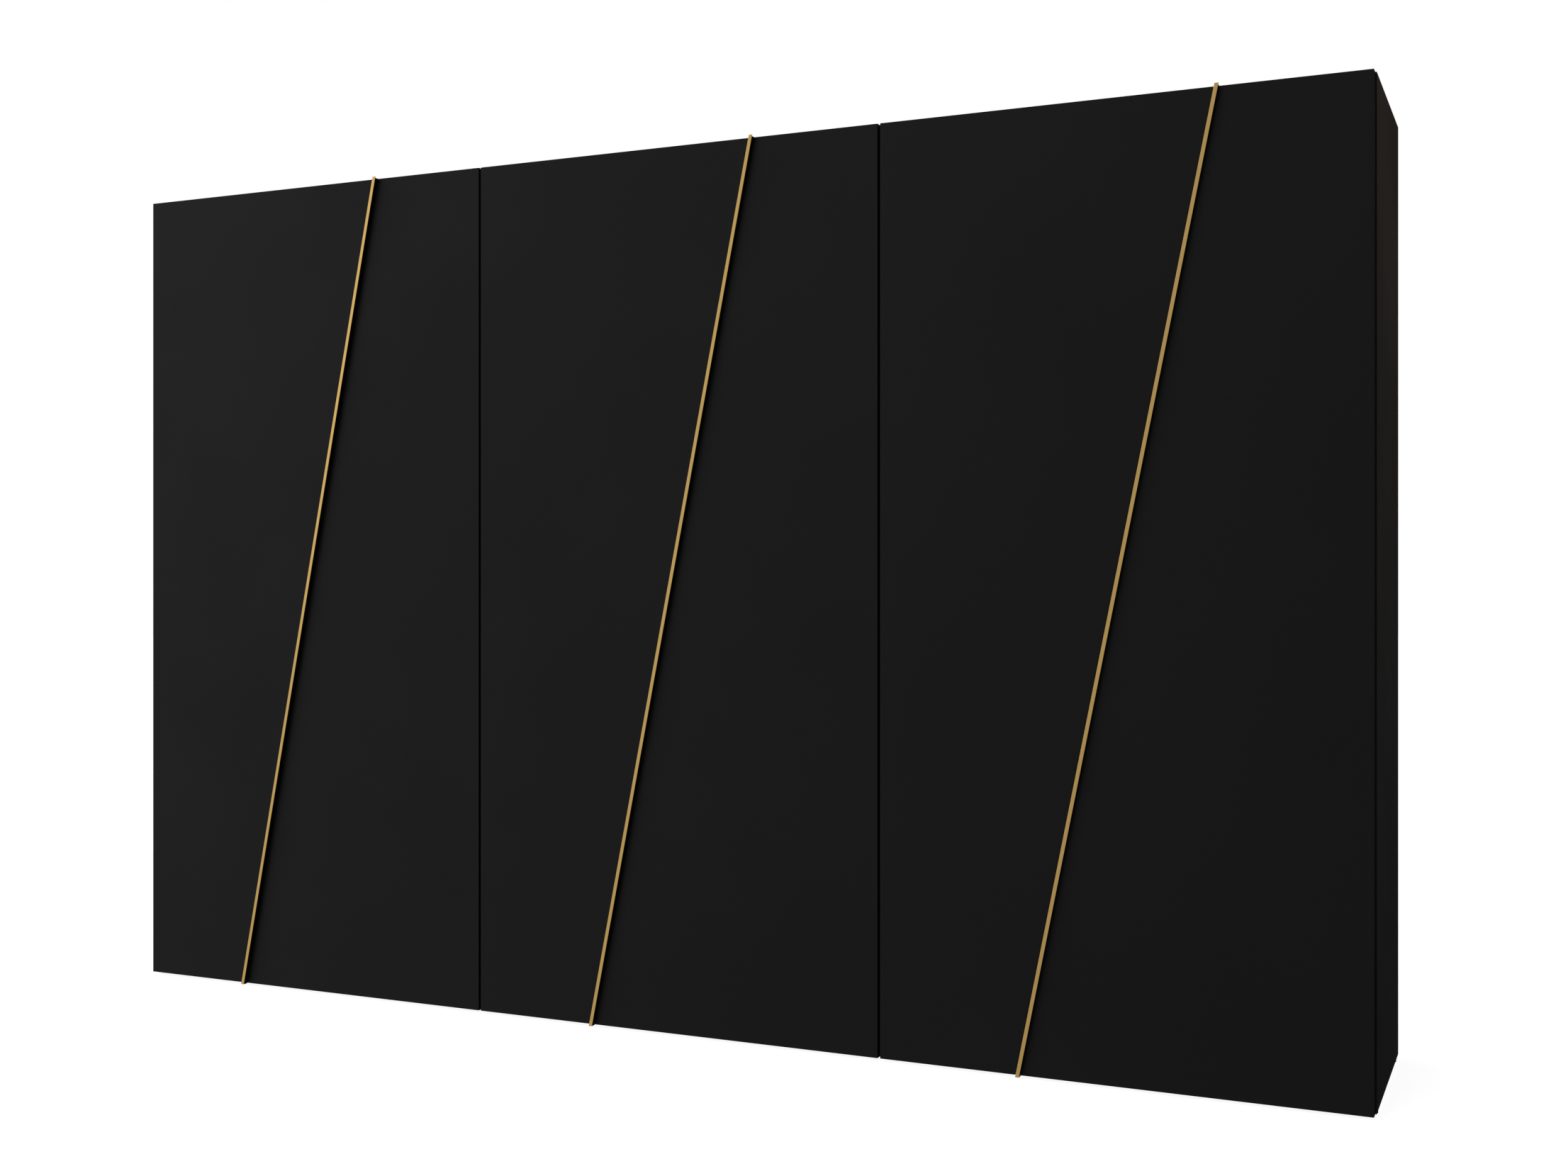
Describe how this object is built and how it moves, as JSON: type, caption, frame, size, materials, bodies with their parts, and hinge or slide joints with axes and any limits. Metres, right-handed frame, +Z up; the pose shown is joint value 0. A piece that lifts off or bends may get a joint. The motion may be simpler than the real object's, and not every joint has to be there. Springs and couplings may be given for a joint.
{
  "type": "wardrobe with hinged doors",
  "caption": "Matt black wardrobe of equal sections, each closed by two hinged leaves that meet on a slanted line under a slim gold strip; shelves and hanging rails inside.",
  "frame": {"origin": "on the floor, below the middle of the whole wardrobe's box", "axes": "+X along the front to the right, -Y out of the leaves' faces, +Y to the wall, +Z up"},
  "size_m": [3.33, 0.546, 2.2035],
  "materials": {
    "leaf_lacquer": "fine matt black lacquer on board",
    "carcass_board": "matt black laminate on board",
    "back_board": "dark grey laminate on thin board",
    "gilt_strip": "satin gold, anodised, brushed along its length",
    "steel": "nickel-plated steel",
    "rail_chrome": "polished tube",
    "grey_plastic": "moulded glide",
    "clear_rubber": "soft clear stop"
  },
  "bodies": {
    "carcass": {"side_left_1": "carcass_board", "side_left_2": "carcass_board", "side_left_3": "carcass_board", "side_right_1": "carcass_board", "side_right_2": "carcass_board", "side_right_3": "carcass_board", "top_1": "carcass_board", "top_2": "carcass_board", "top_3": "carcass_board", "bottom_1": "carcass_board", "bottom_2": "carcass_board", "bottom_3": "carcass_board", "back_1": "back_board", "back_2": "back_board", "back_3": "back_board", "plinth_rails": "carcass_board", "hat_shelves": "carcass_board", "shelf_1": "carcass_board", "shelf_2": "carcass_board", "shelf_3": "carcass_board", "shelf_4": "carcass_board", "shelf_pins": "steel", "hanging_rails": "rail_chrome", "rail_sockets": "steel", "cam_housings": "steel", "cam_bolts": "steel", "section_bolts": "steel", "glides": "grey_plastic", "wall_brackets": "steel", "screws": "steel", "bumpers": "clear_rubber", "hinge_plates": "steel", "hinge_arms": "steel"},
    "door_1": {"leaf_1": "leaf_lacquer", "hinge_cups_1": "steel", "hinge_pins_1": "steel"},
    "door_2": {"leaf_2": "leaf_lacquer", "hinge_cups_2": "steel", "hinge_pins_2": "steel", "strip_rail_1": "leaf_lacquer", "strip_face_1": "gilt_strip", "strip_screws_1": "steel"},
    "door_3": {"leaf_3": "leaf_lacquer", "hinge_cups_3": "steel", "hinge_pins_3": "steel"},
    "door_4": {"leaf_4": "leaf_lacquer", "hinge_cups_4": "steel", "hinge_pins_4": "steel", "strip_rail_2": "leaf_lacquer", "strip_face_2": "gilt_strip", "strip_screws_2": "steel"},
    "door_5": {"leaf_5": "leaf_lacquer", "hinge_cups_5": "steel", "hinge_pins_5": "steel"},
    "door_6": {"leaf_6": "leaf_lacquer", "hinge_cups_6": "steel", "hinge_pins_6": "steel", "strip_rail_3": "leaf_lacquer", "strip_face_3": "gilt_strip", "strip_screws_3": "steel"}
  },
  "joints": [
    {"name": "door_1_hinge", "type": "hinge", "parent": "carcass", "child": "door_1", "pos_m": [-1.6513, -0.251, 1.1], "axis": [0, 0, -1], "range_deg": [0, 100]},
    {"name": "door_2_hinge", "type": "hinge", "parent": "carcass", "child": "door_2", "pos_m": [-0.5687, -0.251, 1.1], "axis": [0, 0, 1], "range_deg": [0, 88]},
    {"name": "door_3_hinge", "type": "hinge", "parent": "carcass", "child": "door_3", "pos_m": [-0.5413, -0.251, 1.1], "axis": [0, 0, -1], "range_deg": [0, 88]},
    {"name": "door_4_hinge", "type": "hinge", "parent": "carcass", "child": "door_4", "pos_m": [0.5413, -0.251, 1.1], "axis": [0, 0, 1], "range_deg": [0, 88]},
    {"name": "door_5_hinge", "type": "hinge", "parent": "carcass", "child": "door_5", "pos_m": [0.5687, -0.251, 1.1], "axis": [0, 0, -1], "range_deg": [0, 88]},
    {"name": "door_6_hinge", "type": "hinge", "parent": "carcass", "child": "door_6", "pos_m": [1.6513, -0.251, 1.1], "axis": [0, 0, 1], "range_deg": [0, 100]}
  ]
}
